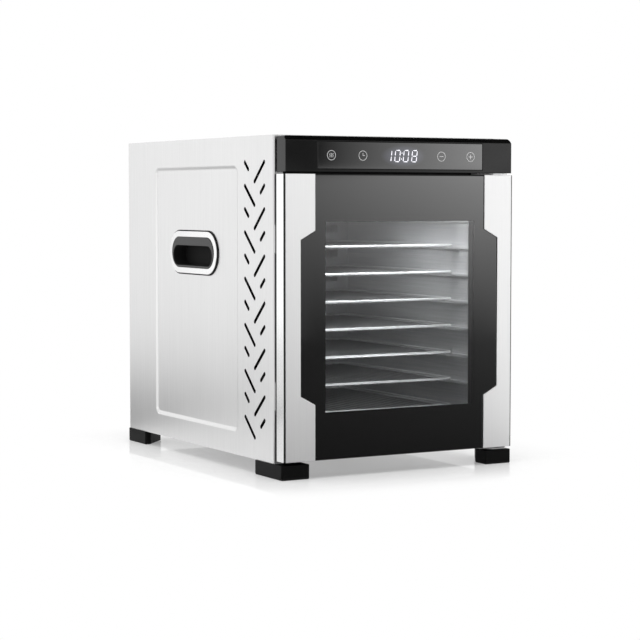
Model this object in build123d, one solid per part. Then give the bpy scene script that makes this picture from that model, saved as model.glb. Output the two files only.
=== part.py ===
from build123d import *
from math import atan, cos, degrees, radians, sin, sqrt, tan
import os

# Food dehydrator: stainless cabinet, glass door hinged on the right, ten wire trays, rear fan.
# Millimetres. +X right seen from the front, +Y to the back, +Z up, origin under the middle.

# Cabinet
cabinet_width = 330.0
cabinet_depth = 429.0  # side panels, front edge to rear edge
cabinet_height = 397.0  # side panels
foot_height = 18.0
sheet = 1.0  # steel sheet of cabinet and liner
fit_clearance = 0.2  # round a piece let into another
bend_radius = 2.5  # outside of the folds of a side panel
return_flange = 13.0  # folded edges of a side panel
top_skirt = 12.0
base_skirt = 5.0
frame_thickness = 2.0  # front frame round the mouth
mouth_sill = 2.0  # front frame standing above the cavity floor
mouth_header = 10.4  # front frame hanging below the cavity ceiling
side_plenum = 19.5  # air space between side panel and liner
floor_lift = 5.0  # base pan up to the underside of the liner floor
motor_space = 29.0  # back panel to fan housing
fan_chamber = 47.0  # depth of the fan housing
screw_head_radius = 3.2
screw_head_height = 1.0
screw_edge = 7.5  # screw axis in from the edge of the back panel
screws_per_side = 4
back_margin = 2.0  # back panel inside the outline of the cabinet

# Pressed field of a side panel
field_front = 95.0  # margins from the edges of the panel
field_rear = 89.0
field_top = 35.5
field_bottom = 29.0
field_recess = 2.0
field_slope = 4.0  # width of the sloping border
field_corner = 10.0

# Herringbone vents of a side panel
vent_front = 21.0  # front edge of the panel to the front column
vent_band = 56.0  # outside ends of the two columns
vent_top = 29.7
vent_bottom = 24.2
vent_rows = 12
vent_width = 5.0
vent_long = 39.5
vent_short = 17.5
vent_slope = 43.0  # degrees

# Side grip
grip_drop = 146.6  # top of the cabinet to the middle of the grip
grip_setback = 5.0  # behind the middle of the field
grip_length = 139.0
grip_height = 55.0
grip_rim = 7.5
rim_thickness = 1.2
flange_thickness = 1.4  # of the cup, under the rim
flange_margin = 1.5  # beyond the rim
cup_rise = 3.2
cup_wall = 2.0
cup_liner_gap = 1.0
pocket_length = 115.0
pocket_height = 26.0
pocket_drop = 4.2  # pocket below the middle of the grip

# Feet
foot_width = 38.5
foot_outset = 1.8  # beyond the side panel
foot_heel = 23.0  # length of its inner side
foot_tip = 8.0  # width of its far end
front_foot_length = 70.0
front_foot_setback = 3.5  # behind the front of the door
rear_foot_length = 56.0
rear_foot_setback = 1.0
foot_chamfer = 1.2
foot_toe = 1.0

# Door
door_thickness = 21.5
door_gap = 5.5  # gasket space between door and cabinet
door_lift = 4.0  # above the feet
door_bead = 2.0  # bare black edge between the front trims and the side strips
door_corner = 1.2
trim_thickness = 1.5
trim_wide = 43.0  # trims at the top and bottom of the door
trim_narrow = 23.0  # trims beside the window
trim_step = 68.0  # end of the door to the step of the trim
trim_slope = 10.8  # height of the sloping step
trim_reveal = 0.4
strip_thickness = 1.0
strip_width = 17.5
strip_clearance = 0.1
glass_thickness = 4.0
glass_lip = 1.5
window_inset = 59.0  # edge of the door to the clear window
window_cover = 6.0  # black border over the opening of the frame
door_stile = 26.0  # solid sides of the frame
door_wall = 3.0
door_web = 2.5  # frame behind the glass
panel_lap = 3.0  # inner panel on the frame
hinge_radius = 12.5  # hinge axis to the side and the back of the door
gasket_width = 5.5
gasket_corner = 2.2
gasket_clearance = 0.3

# Hinges and catches
pin_radius = 3.0
pin_engagement = 11.5
running_clearance = 0.05
bush_radius = 5.0
bush_length = 12.0
bush_lift = 0.3  # lower bush above its bracket
bracket_thickness = 1.8
bracket_gap = 0.4  # door to the upper bracket
bracket_tail = 22.0  # width of the part inside the cabinet
bracket_inset = 1.5  # tail inside the line of the cavity wall
bracket_reach = 42.0  # length of the part inside the cabinet
bracket_head = 15.5  # axis to the near corner of the head
bracket_side = 8.5  # axis to the outer side
bracket_setback = 2.0  # behind the front of the door
bracket_corner = 5.0
magnet_width = 7.0
magnet_height = 34.0
magnet_sink = 3.0
magnet_stand_off = 0.5  # magnet to strike plate
magnet_spread = 190.0  # between the two catches
strike_thickness = 1.5
strike_margin = 1.5

# Control strip
bezel_drop = 1.3  # below the top of the cabinet
bezel_height = 43.3
bezel_gap = 2.4  # above the door
bezel_inset = 2.0  # inside the sides of the cabinet
bezel_wall = 2.5
bezel_face = 4.0
bezel_bevel = 5.5
bezel_corner = 3.5
bezel_skirt_inset = 3.0
control_width = 238.0
control_height = 33.0
control_lift = 3.6
control_thickness = 2.0
control_sink = 0.4
control_ledge = 7.0  # glass resting on the bezel at its ends
control_ledge_edge = 3.0  # glass resting on the bezel along its edges
board_thickness = 1.6
board_stand_off = 3.0
board_post_width = 7.0
board_post_height = 14.0
display_width = 52.0
display_height = 19.0

# Trays and runners
tray_count = 10
tray_side_clearance = 2.0
tray_setback = 68.0  # front edge of the cabinet to the trays
tray_rear_gap = 4.0
first_tray_lift = 8.0  # cavity floor to the middle of the lowest frame
top_tray_drop = 19.4  # cavity ceiling to the middle of the highest frame
tray_rod = 4.0
tray_wire = 2.4
tray_wire_height = 2.0
tray_wires = 9
tray_corner = 5.0
weld_overlap = 0.8
runner_depth = 7.0
runner_height = 5.0
runner_nose = 2.5
runner_clearance = 0.3
exhaust_inset = 8.0  # mouth to the liner openings, which stand ahead of the trays
exhaust_length = 30.0
exhaust_lift = 6.0  # liner openings above the middle of a tray
exhaust_drop = 3.0  # and below the next runner

# Baffle and back panel openings
baffle_columns = 2
baffle_slot_width = 118.0
baffle_slot_height = 10.0
baffle_slot_pitch = 136.0
intake_radius = 70.0
intake_rows = 10
intake_pitch = 13.0
intake_height = 4.0
intake_rib = 8.0

# Fan and heater
fan_blades = 6
fan_radius = 78.0
fan_hub_radius = 16.0
fan_hub_length = 16.0
fan_setback = 17.0  # housing wall to the middle of the blades
blade_thickness = 1.5
blade_chord = 30.0
blade_tilt = 35.0  # degrees
blade_root = 2.0  # blade sunk into the hub
shaft_radius = 3.0
shaft_nose = 1.5
nut_radius = 6.0
nut_length = 5.0
shaft_hole_radius = 10.0
inlet_rows = 5
inlet_pitch = 28.0
inlet_width = 60.0
inlet_height = 9.0
inlet_offset = 66.0
motor_plate = 3.0
motor_ear_width = 84.0
motor_ear_height = 24.0
motor_stack_width = 56.0
motor_stack_height = 46.0
motor_stack_length = 16.0
motor_boss_radius = 8.0
motor_boss_length = 3.0
coil_width = 18.0
coil_height = 30.0
coil_length = 20.0
coil_corner = 4.5
heater_bar_x = 46.0
heater_bar_width = 10.0
heater_bar_thickness = 3.0
heater_bar_height = 190.0
heater_post = 8.0
heater_post_length = 5.0
heater_post_inset = 12.0
ribbon_runs = 12
ribbon_pitch = 14.0
ribbon_width = 5.0
ribbon_thickness = 0.8
ribbon_overhang = 4.0
cutout_width = 22.0
cutout_height = 12.0
cutout_depth = 8.0
cutout_x = 112.0
cutout_chamfer = 1.6
probe_radius = 2.2
probe_length = 10.0
probe_base = 9.0
probe_base_thickness = 2.0
probe_x = 120.0
probe_lift = 9.0  # above the middle of the top tray

# Power board in the space over the cavity
power_width = 120.0
power_depth = 90.0
power_stand_off = 6.0
power_post = 6.0
power_y = -20.0
# Parts on it: place across and along the board, width, depth, height
transformer = (-31.0, 0.0, 38.0, 36.0, 28.0)
relay = (13.0, 16.0, 18.0, 24.0, 16.0)
capacitor = (40.0, -22.0, 20.0, 12.0, 14.0)

# Cord gland
gland_body = 16.0
gland_flange = 22.0
gland_length = 12.0
gland_bore_radius = 3.6
gland_clearance = 0.2
gland_x = -110.0
gland_lift = 34.0  # above the base of the cabinet

# Places across the object
x_side = cabinet_width / 2
x_inside = x_side - sheet
x_flange = x_side - return_flange
x_fold = x_side - bend_radius  # clear of the folds of the side panels
x_field = x_side - field_recess
x_liner = x_inside - side_plenum  # outer face of the liner
x_cavity = x_liner - sheet
x_bezel = x_side - bezel_inset
x_tray = x_cavity - tray_side_clearance
x_hinge = x_side - hinge_radius

# Places from front to back
y_door = -(door_thickness + door_gap + cabinet_depth + sheet + screw_head_height) / 2
y_door_back = y_door + door_thickness
y_front = y_door_back + door_gap
y_rear = y_front + cabinet_depth
y_fold = y_rear - bend_radius
y_frame = y_front + sheet
y_mouth = y_frame + frame_thickness
y_housing = y_rear - motor_space
y_baffle_back = y_housing - fan_chamber
y_baffle = y_baffle_back - sheet
y_tray = y_front + tray_setback
y_tray_back = y_baffle - tray_rear_gap
y_hinge = y_door_back - hinge_radius
y_recess = y_door + trim_thickness  # front of the glass
y_glass_back = y_recess + glass_thickness
y_web_back = y_glass_back + door_web
y_field = (y_front + field_front + y_rear - field_rear) / 2
y_fan = y_housing - sheet - fan_setback
y_control = y_door + control_sink
y_control_back = y_control + control_thickness
y_bezel_face = y_door + bezel_face
y_board = y_bezel_face + board_stand_off

# Places from the floor up
z_bottom = foot_height
z_top = z_bottom + cabinet_height
z_base = z_bottom + sheet
z_floor_under = z_base + floor_lift
z_floor = z_floor_under + sheet
z_bezel_top = z_top - bezel_drop
z_bezel = z_bezel_top - bezel_height
z_door = z_bottom + door_lift
z_door_top = z_bezel - bezel_gap
z_door_middle = (z_door + z_door_top) / 2
z_ceiling_top = z_door_top + bracket_gap
z_ceiling = z_ceiling_top - sheet
z_mouth = z_floor + mouth_sill
z_mouth_top = z_ceiling - mouth_header
z_fan = (z_floor + z_ceiling) / 2
y_grip = y_field + grip_setback
z_grip = z_top - grip_drop
z_pocket = z_grip - pocket_drop
z_control = z_bezel + control_lift
z_control_middle = z_control + control_height / 2
z_first_tray = z_floor + first_tray_lift
tray_pitch = (z_ceiling - top_tray_drop - z_first_tray) / (tray_count - 1)
tray_levels = [z_first_tray + tray_pitch * level for level in range(tray_count)]


def about(half, middle=0.0):
    return middle - half, middle + half


def block(x, y, z):
    (x0, x1), (y0, y1), (z0, z1) = x, y, z
    return Pos((x0 + x1) / 2, (y0 + y1) / 2, (z0 + z1) / 2) * Box(x1 - x0, y1 - y0, z1 - z0)


def rectangle(across, up):
    (a0, a1), (b0, b1) = across, up
    return Pos((a0 + a1) / 2, (b0 + b1) / 2) * Rectangle(a1 - a0, b1 - b0)


# A sketch extruded between two values of X, Y or Z; its own axes are YZ, XZ or XY
def along_x(sketch, x):
    return extrude(Plane.YZ.offset(x[0]) * sketch, x[1] - x[0], dir=(1, 0, 0))


def along_y(sketch, y):
    return extrude(Plane.XZ.offset(-y[0]) * sketch, y[1] - y[0], dir=(0, 1, 0))


def along_z(sketch, z):
    return extrude(Plane.XY.offset(z[0]) * sketch, z[1] - z[0], dir=(0, 0, 1))


def left_of(part):
    return mirror(part, about=Plane.YZ)


# Side panel: a folded channel with a pressed field, herringbone vents and the grip hole
def slot_span(length):
    slope = radians(vent_slope)
    reach = length - vent_width
    return reach * cos(slope) + vent_width, reach * sin(slope) + vent_width


def herringbone():
    z_first = z_top - vent_top
    rise_long = slot_span(vent_long)[1]
    pitch = (z_first - rise_long - z_bottom - vent_bottom) / (vent_rows - 1)
    columns = ((y_front + vent_front, 1), (y_front + vent_front + vent_band, -1))
    slots = []
    for row in range(vent_rows):
        for column, (y_outside, inward) in enumerate(columns):
            length = vent_long if row % 2 == column else vent_short
            run, rise = slot_span(length)
            middle = Pos(y_outside + inward * run / 2, z_first - row * pitch - rise / 2)
            slots.append(middle * Rectangle(length, vent_width, rotation=-inward * vent_slope))
    return Sketch() + slots


def side_panel():
    skin = block((x_flange, x_side), (y_front, y_rear), (z_bottom, z_top))
    skin = fillet(skin.edges().filter_by(Axis.Z).group_by(Axis.X)[-1], bend_radius)
    inside = block((x_flange, x_inside), (y_front + sheet, y_rear - sheet), (z_bottom, z_top))
    inside = fillet(inside.edges().filter_by(Axis.Z).group_by(Axis.X)[-1], bend_radius - sheet)
    panel = skin - inside

    field_length = cabinet_depth - field_front - field_rear
    field_height = cabinet_height - field_top - field_bottom
    z_field = z_bottom + field_bottom + field_height / 2
    slope_angle = degrees(atan(field_slope / field_recess))
    spread = sheet * tan(radians(90 - slope_angle) / 2)  # keeps the sheet's thickness round the fold
    inward = Plane(origin=(x_side, y_field, z_field), x_dir=(0, 1, 0), z_dir=(-1, 0, 0))
    outline = RectangleRounded(field_length, field_height, field_corner)
    back_outline = RectangleRounded(
        field_length + 2 * spread, field_height + 2 * spread, field_corner + spread
    )
    panel += extrude(inward.offset(sheet) * back_outline, field_recess, taper=slope_angle)
    panel -= extrude(inward * outline, field_recess, taper=slope_angle)

    through = (x_field - 2 * sheet, x_side)
    return panel - along_x(herringbone(), through) - along_x(cup_outline(fit_clearance), through)


# Grip: a bright rim on the pressed field, and a cup whose pocket sits below the middle
def grip_outline(margin):
    return Pos(y_grip, z_grip) * SlotOverall(grip_length + 2 * margin, grip_height + 2 * margin)


def grip_bezel():
    ring = grip_outline(0) - grip_outline(-grip_rim)
    x_seat = x_field + flange_thickness
    return along_x(ring, (x_seat, x_seat + rim_thickness))


def cup_outline(clearance=0.0):
    around = 2 * (cup_wall + clearance)
    return Pos(y_grip, z_pocket) * Rectangle(pocket_length + around, pocket_height + around)


def grip_cup():
    x_lip = x_field + cup_rise
    x_cup = x_liner + cup_liner_gap
    cup = along_x(grip_outline(flange_margin), (x_field, x_field + flange_thickness))
    cup += along_x(grip_outline(-grip_rim - fit_clearance), (x_field, x_lip))
    cup += along_x(cup_outline(), (x_cup, x_field))
    pocket = Pos(y_grip, z_pocket) * SlotOverall(pocket_length, pocket_height)
    return cup - along_x(pocket, (x_cup + cup_wall, x_lip))


# Top and base fit between the side panels and round the folds of their rear edges
def sheet_between_panels(z):
    plate = block(about(x_inside), (y_mouth, y_fold), z)
    plate += block(about(x_fold), (y_fold, y_rear - sheet), z)
    return plate + block(about(x_flange), (y_rear - sheet, y_rear), z)


def top_panel():
    z_under = z_top - sheet
    top = sheet_between_panels((z_under, z_top))
    top += block(about(x_fold), (y_frame, y_mouth), (z_under, z_top))
    skirt = block((x_inside - sheet, x_inside), (y_mouth, y_fold), (z_top - top_skirt, z_under))
    return top + skirt + left_of(skirt)


def base_pan():
    pan = sheet_between_panels((z_bottom, z_base))
    skirt = block((x_inside - sheet, x_inside), (y_mouth, y_fold), (z_base, z_base + base_skirt))
    return pan + skirt + left_of(skirt)


# Back panel with a round intake of horizontal slots, and the hole of the cord gland
def back_panel():
    outline = rectangle(about(x_side - back_margin), (z_bottom + back_margin, z_top - back_margin))
    slots = []
    for row in range(intake_rows):
        rise = (row - (intake_rows - 1) / 2) * intake_pitch
        reach = sqrt(intake_radius**2 - rise**2)
        for side in (-1, 1):
            span = sorted((side * intake_rib / 2, side * reach))
            slots.append(rectangle(span, about(intake_height / 2, z_fan + rise)))
    gland_hole = Pos(gland_x, z_bottom + gland_lift) * Rectangle(
        gland_body + 2 * gland_clearance, gland_body + 2 * gland_clearance
    )
    return along_y(outline - slots - gland_hole, (y_rear, y_rear + sheet))


def back_panel_screws():
    x_screw = x_side - back_margin - screw_edge
    z_low = z_bottom + back_margin + screw_edge
    z_high = z_top - back_margin - screw_edge
    spacing = (z_high - z_low) / (screws_per_side - 1)
    head = RegularPolygon(screw_head_radius, 6)
    heads = [
        Pos(side * x_screw, z_low + spacing * step) * head
        for side in (-1, 1)
        for step in range(screws_per_side)
    ]
    back = y_rear + sheet
    return along_y(Sketch() + heads, (back, back + screw_head_height))


def cord_gland():
    z_gland = z_bottom + gland_lift
    back = y_rear + sheet
    place = Pos(gland_x, z_gland)
    gland = along_y(place * Rectangle(gland_body, gland_body), (back - gland_length, back))
    gland += along_y(place * Rectangle(gland_flange, gland_flange), (back, back + screw_head_height))
    bore = place * Circle(gland_bore_radius)
    return gland - along_y(bore, (back - gland_length, back + screw_head_height))


# Front frame round the mouth, slotted for the tails of the hinge brackets
def bracket_levels():
    return (z_base, z_base + bracket_thickness), (z_ceiling_top, z_ceiling_top + bracket_thickness)


def front_frame():
    outline = rectangle(about(x_fold), (z_bottom, z_top - sheet))
    mouth = rectangle(about(x_cavity), (z_mouth, z_mouth_top))
    x_tail = x_cavity - bracket_inset
    tails = [
        rectangle((x_tail - bracket_tail - running_clearance, x_tail + running_clearance), level)
        for level in bracket_levels()
    ]
    return along_y(outline - mouth - tails, (y_frame, y_mouth))


def door_gasket():
    def outline(reach):
        return rectangle(about(x_cavity + reach), (z_mouth - reach, z_mouth_top + reach))

    section = outline(gasket_clearance + gasket_width) - outline(gasket_clearance)
    ring = along_y(section, (y_door_back + gasket_clearance, y_frame))
    return chamfer(ring.faces().sort_by(Axis.Y)[0].edges(), gasket_corner)


# Cavity liner: walls folded into a runner at each tray, with exhaust openings near the mouth
def liner_wall():
    half = sheet / 2
    x_runner = x_cavity - runner_depth
    inside = [(x_cavity, z_floor)]
    outside = [(x_liner, z_floor)]
    for z_tray in tray_levels:
        z_rest = z_tray - tray_rod / 2 - runner_clearance
        inside += [
            (x_cavity, z_rest - runner_height),
            (x_runner, z_rest - runner_nose),
            (x_runner, z_rest),
            (x_cavity, z_rest),
        ]
        outside += [
            (x_liner, z_rest - runner_height + half),
            (x_runner + sheet, z_rest - runner_nose + half),
            (x_runner + sheet, z_rest - sheet),
            (x_liner, z_rest - sheet),
        ]
    inside.append((x_cavity, z_ceiling))
    outside.append((x_liner, z_ceiling))
    wall = along_y(Polygon(*inside, *reversed(outside), align=None), (y_mouth, y_baffle))
    y_first = y_mouth + exhaust_inset
    head = tray_rod / 2 + runner_clearance + runner_height + exhaust_drop
    openings = [
        rectangle((y_first, y_first + exhaust_length), (low + exhaust_lift, high - head))
        for low, high in zip(tray_levels, tray_levels[1:])
    ]
    return wall - along_x(Sketch() + openings, (x_cavity, x_liner))


def liner_floor():
    floor = block(about(x_liner), (y_mouth, y_housing), (z_floor_under, z_floor))
    leg = block((x_cavity, x_liner), (y_mouth, y_housing), (z_base, z_floor_under))
    return floor + leg + left_of(leg)


def liner_ceiling():
    return block(about(x_liner), (y_mouth, y_housing), (z_ceiling, z_ceiling_top))


# Inner back wall: a row of slots between each two trays
def fan_baffle():
    outline = rectangle(about(x_liner), (z_floor, z_ceiling))
    slots = []
    for low, high in zip(tray_levels, tray_levels[1:]):
        for column in range(baffle_columns):
            x_slot = (column - (baffle_columns - 1) / 2) * baffle_slot_pitch
            slots.append(Pos(x_slot, (low + high) / 2) * Rectangle(baffle_slot_width, baffle_slot_height))
    return along_y(outline - slots, (y_baffle, y_baffle_back))


def fan_housing():
    pan = block(about(x_liner), (y_baffle_back, y_housing), (z_floor, z_ceiling))
    pan -= block(
        about(x_liner - sheet), (y_baffle_back, y_housing - sheet), (z_floor + sheet, z_ceiling - sheet)
    )
    shaft_hole = Pos(0, z_fan) * Circle(shaft_hole_radius)
    inlets = [
        Pos(side * inlet_offset, z_fan + (row - (inlet_rows - 1) / 2) * inlet_pitch)
        * Rectangle(inlet_width, inlet_height)
        for side in (-1, 1)
        for row in range(inlet_rows)
    ]
    return pan - along_y(Sketch() + shaft_hole + inlets, (y_housing - sheet, y_housing))


# Fan: motor bolted to the housing, shaft, tilted blades on a hub, nut
def fan_motor():
    y_stack = y_housing + motor_plate
    y_stack_back = y_stack + motor_stack_length
    y_plate_back = y_stack_back + motor_plate
    centre = Pos(0, z_fan)
    ears = centre * Rectangle(motor_ear_width, motor_ear_height)
    motor = along_y(ears, (y_housing, y_stack))
    motor += along_y(centre * Rectangle(motor_stack_width, motor_stack_height), (y_stack, y_stack_back))
    motor += along_y(
        centre * Rectangle(motor_stack_width, motor_ear_height), (y_stack_back, y_plate_back)
    )
    motor += along_y(
        centre * Circle(motor_boss_radius), (y_plate_back, y_plate_back + motor_boss_length)
    )
    bore = centre * Circle(shaft_radius + running_clearance)
    return motor - along_y(bore, (y_housing, y_plate_back + motor_boss_length))


def motor_coil():
    z_coil = z_fan + motor_stack_height / 2
    y_coil = y_housing + motor_plate + motor_stack_length / 2
    coil = block(
        about(coil_height / 2), about(coil_length / 2, y_coil), (z_coil, z_coil + coil_width)
    )
    return chamfer(coil.edges().filter_by(Axis.X), coil_corner)


def fan_shaft():
    y_nose = y_fan - fan_hub_length / 2 - nut_length - shaft_nose
    y_tail = y_housing + 2 * motor_plate + motor_stack_length + motor_boss_length
    return along_y(Pos(0, z_fan) * Circle(shaft_radius), (y_nose, y_tail))


def fan_impeller():
    hub = along_y(Pos(0, z_fan) * Circle(fan_hub_radius), about(fan_hub_length / 2, y_fan))
    root = fan_hub_radius - blade_root
    length = fan_radius - root
    blade = Rot(blade_tilt, 0, 0) * Box(length, blade_thickness, blade_chord)
    blade = Pos(root + length / 2, 0, 0) * blade
    blades = [
        Pos(0, y_fan, z_fan) * Rot(0, 360 / fan_blades * turn, 0) * blade for turn in range(fan_blades)
    ]
    bore = Pos(0, z_fan) * Circle(shaft_radius + running_clearance)
    return hub + blades - along_y(bore, about(fan_hub_length / 2, y_fan))


def fan_nut():
    y_nut = y_fan - fan_hub_length / 2
    outline = RegularPolygon(nut_radius, 6) - Circle(shaft_radius + running_clearance)
    return along_y(Pos(0, z_fan) * outline, (y_nut - nut_length, y_nut))


# Heater: ribbon in a zigzag on two mica bars that stand on the baffle
def heater_frame():
    y_bar = y_baffle_back + heater_post_length
    bar = rectangle(about(heater_bar_width / 2, heater_bar_x), about(heater_bar_height / 2, z_fan))
    bars = along_y(bar, (y_bar, y_bar + heater_bar_thickness))
    z_post = heater_bar_height / 2 - heater_post_inset
    post = Rectangle(heater_post, heater_post)
    posts = [Pos(heater_bar_x, z_fan + side * z_post) * post for side in (-1, 1)]
    bars += along_y(Sketch() + posts, (y_baffle_back, y_bar))
    return bars + left_of(bars)


def heater_ribbon():
    reach = heater_bar_x + heater_bar_width / 2 + ribbon_overhang
    z_low = z_fan - (ribbon_runs - 1) / 2 * ribbon_pitch
    half = ribbon_width / 2
    path = []
    for run in range(ribbon_runs):
        z_run = z_low + run * ribbon_pitch
        path.append(rectangle(about(reach), about(half, z_run)))
        if run < ribbon_runs - 1:
            side = 1 if run % 2 == 0 else -1
            turn = sorted((side * reach, side * (reach - ribbon_width)))
            path.append(rectangle(turn, (z_run - half, z_run + ribbon_pitch + half)))
    y_ribbon = y_baffle_back + heater_post_length + heater_bar_thickness
    return along_y(Sketch() + path, (y_ribbon, y_ribbon + ribbon_thickness))


def thermal_cutout():
    outline = Pos(cutout_x, z_fan) * Rectangle(cutout_width, cutout_height)
    body = along_y(outline, (y_housing, y_housing + cutout_depth))
    return chamfer(body.faces().sort_by(Axis.Y)[-1].edges(), cutout_chamfer)


def temperature_probe():
    z_probe = tray_levels[-1] + probe_lift
    y_base = y_baffle - probe_base_thickness
    base = along_y(Pos(probe_x, z_probe) * Rectangle(probe_base, probe_base), (y_base, y_baffle))
    return base + along_y(Pos(probe_x, z_probe) * Circle(probe_radius), (y_base - probe_length, y_base))


# Control strip: hollow bezel, glass on a ledge, board with the display behind it
def control_bezel():
    profile = Polygon(
        (y_door, z_bezel),
        (y_door_back, z_bezel),
        (y_door_back, z_bezel_top),
        (y_door + bezel_bevel, z_bezel_top),
        (y_door, z_bezel_top - bezel_bevel),
        align=None,
    )
    outline = rectangle(about(x_bezel), (z_bezel, z_bezel_top))
    outline = fillet(outline.vertices().group_by(Axis.Y)[-1], bezel_corner)
    outer = along_x(profile, about(x_bezel)) & along_y(outline, (y_door, y_door_back))
    x_skirt = x_bezel - bezel_skirt_inset
    z_skirt = (z_bezel + bezel_skirt_inset, z_bezel_top - bezel_skirt_inset)
    outer += block(about(x_skirt), (y_door_back, y_front), z_skirt)
    inner = block(
        about(x_skirt - bezel_wall),
        (y_bezel_face, y_front),
        (z_skirt[0] + bezel_wall, z_skirt[1] - bezel_wall),
    )
    recess = rectangle(about(control_width / 2), (z_control, z_control + control_height))
    opening = rectangle(
        about(control_width / 2 - control_ledge),
        (z_control + control_ledge_edge, z_control + control_height - control_ledge_edge),
    )
    bezel = outer - inner - along_y(recess, (y_door, y_control_back))
    bezel -= along_y(opening, (y_door, y_bezel_face))
    x_post = (control_width - board_post_width) / 2
    outline = Pos(x_post, z_control_middle) * Rectangle(board_post_width, board_post_height)
    post = along_y(outline, (y_bezel_face, y_board))
    return bezel + post + left_of(post)


def control_glass():
    outline = rectangle(
        about(control_width / 2 - fit_clearance),
        (z_control + fit_clearance, z_control + control_height - fit_clearance),
    )
    return along_y(outline, (y_control, y_control_back))


def control_board():
    return block(
        about(control_width / 2),
        (y_board, y_board + board_thickness),
        about(control_height / 2 - control_ledge_edge, z_control_middle),
    )


def display_module():
    return block(
        about(display_width / 2), (y_control_back, y_board), about(display_height / 2, z_control_middle)
    )


# Power board: transformer, relay and capacitor on a board with four posts on the ceiling
def power_board():
    z_board = z_ceiling_top + power_stand_off
    z_parts = z_board + board_thickness
    board = block(about(power_width / 2), about(power_depth / 2, power_y), (z_board, z_parts))
    for x_sign in (-1, 1):
        for y_sign in (-1, 1):
            x_post = x_sign * (power_width - power_post) / 2
            y_post = power_y + y_sign * (power_depth - power_post) / 2
            board += block(
                about(power_post / 2, x_post), about(power_post / 2, y_post), (z_ceiling_top, z_board)
            )
    for x_part, y_part, width, depth, height in (transformer, relay, capacitor):
        outline = Pos(x_part, power_y + y_part) * Rectangle(width, depth)
        board += along_z(outline, (z_parts, z_parts + height))
    return board


# A foot's plan is cut away towards the middle of the cabinet
def foot(y_end, length, inward):
    x_outer = x_side + foot_outset
    x_inner = x_outer - foot_width
    y_tip = y_end + inward * length
    plan = Polygon(
        (x_outer, y_end),
        (x_outer, y_tip),
        (x_outer - foot_tip, y_tip),
        (x_inner, y_end + inward * foot_heel),
        (x_inner, y_end),
        align=None,
    )
    pad = along_z(plan, (0, foot_height))
    pad = chamfer(pad.edges().filter_by(Axis.Z), foot_chamfer)
    return chamfer(pad.faces().sort_by(Axis.Z)[0].edges(), foot_toe)


# Hinges: a flat bracket above and below the door, each with a pin in a bush of the door
def hinge_bracket(level):
    x_tail = x_cavity - bracket_inset
    y_head = y_door + bracket_setback
    plan = Polygon(
        (x_hinge - bracket_head, y_head),
        (x_hinge + bracket_side, y_head),
        (x_hinge + bracket_side, y_front),
        (x_tail, y_front),
        (x_tail, y_mouth + bracket_reach),
        (x_tail - bracket_tail, y_mouth + bracket_reach),
        (x_tail - bracket_tail, y_front),
        align=None,
    )
    plan = chamfer(plan.vertices().group_by(Axis.X)[-1], bracket_corner)
    return along_z(plan - Pos(x_hinge, y_hinge) * Circle(pin_radius + running_clearance), level)


def hinge_pins():
    lower, upper = bracket_levels()
    pin = Pos(x_hinge, y_hinge) * Circle(pin_radius)
    return along_z(pin, (lower[0], z_door + pin_engagement)) + along_z(
        pin, (z_door_top - pin_engagement, upper[1])
    )


def hinge_bushes():
    lower, upper = bracket_levels()
    sleeve = Pos(x_hinge, y_hinge) * (Circle(bush_radius) - Circle(pin_radius + running_clearance))
    bushes = along_z(sleeve, (lower[1] + bush_lift, z_door + bush_length))
    return bushes + along_z(sleeve, (z_door_top - bush_length, z_door_top))


def catch_places():
    return [about(magnet_height / 2, z_door_middle + side * magnet_spread / 2) for side in (-1, 1)]


def magnet_span():
    return about(magnet_width / 2, -(x_side + x_flange) / 2)


def catch_magnets():
    y_span = (y_door_back - magnet_sink, y_front - strike_thickness - magnet_stand_off)
    return Part() + [block(magnet_span(), y_span, place) for place in catch_places()]


def strike_plates():
    low, high = magnet_span()
    x_span = (low - strike_margin, high + strike_margin)
    y_span = (y_front - strike_thickness, y_front)
    return Part() + [block(x_span, y_span, place) for place in catch_places()]


# Door: black frame, glass in front, stainless trims and strips, inner panel behind
def glass_outline(grow=0.0):
    wide = x_side - trim_narrow + grow
    narrow = x_side - trim_wide + grow
    low, high = z_door + glass_lip - grow, z_door_top - glass_lip + grow
    step = trim_step - glass_lip + grow
    corner = [
        (narrow, low),
        (narrow, low + step),
        (wide, low + step + trim_slope),
        (wide, high - step - trim_slope),
        (narrow, high - step),
        (narrow, high),
    ]
    return Polygon(*corner, *[(-x, z) for x, z in reversed(corner)], align=None)


def door_trim():
    low, high = z_door, z_door_top
    wide = x_side - trim_narrow + trim_reveal
    narrow = x_side - trim_wide + trim_reveal
    outer = x_side - door_bead
    outline = Polygon(
        (narrow, low),
        (outer, low),
        (outer, high),
        (narrow, high),
        (narrow, high - trim_step),
        (wide, high - trim_step - trim_slope),
        (wide, low + trim_step + trim_slope),
        (narrow, low + trim_step),
        align=None,
    )
    return along_y(outline, (y_door, y_recess))


# The strip on the hinge side follows the round of the door about the hinge axis
def hinge_strip(thickness):
    outer = Rectangle(2 * hinge_radius, 2 * hinge_radius)
    outer = Pos(x_hinge, y_hinge) * fillet(outer.vertices(), hinge_radius)
    hole = Pos(x_hinge, y_hinge) * Circle(hinge_radius - thickness)
    round_part = (outer - hole) & rectangle((x_hinge, x_side), (y_hinge, y_door_back))
    straight = rectangle((x_side - thickness, x_side), (y_door + door_bead, y_hinge))
    return along_z(round_part + straight, (z_door, z_door_top))


def left_strip():
    y_span = (y_door + door_bead, y_door + door_bead + strip_width)
    return block((-x_side, -x_side + strip_thickness), y_span, (z_door, z_door_top))


def frame_opening(grow=0.0):
    inset = window_inset - window_cover - grow
    return rectangle(about(x_side - inset), (z_door + inset, z_door_top - inset))


def inner_panel_outline(grow=0.0):
    reach = panel_lap + grow
    return rectangle(
        about(x_side - door_stile + reach), (z_door + door_wall - grow, z_door_top - door_wall + grow)
    )


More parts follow.
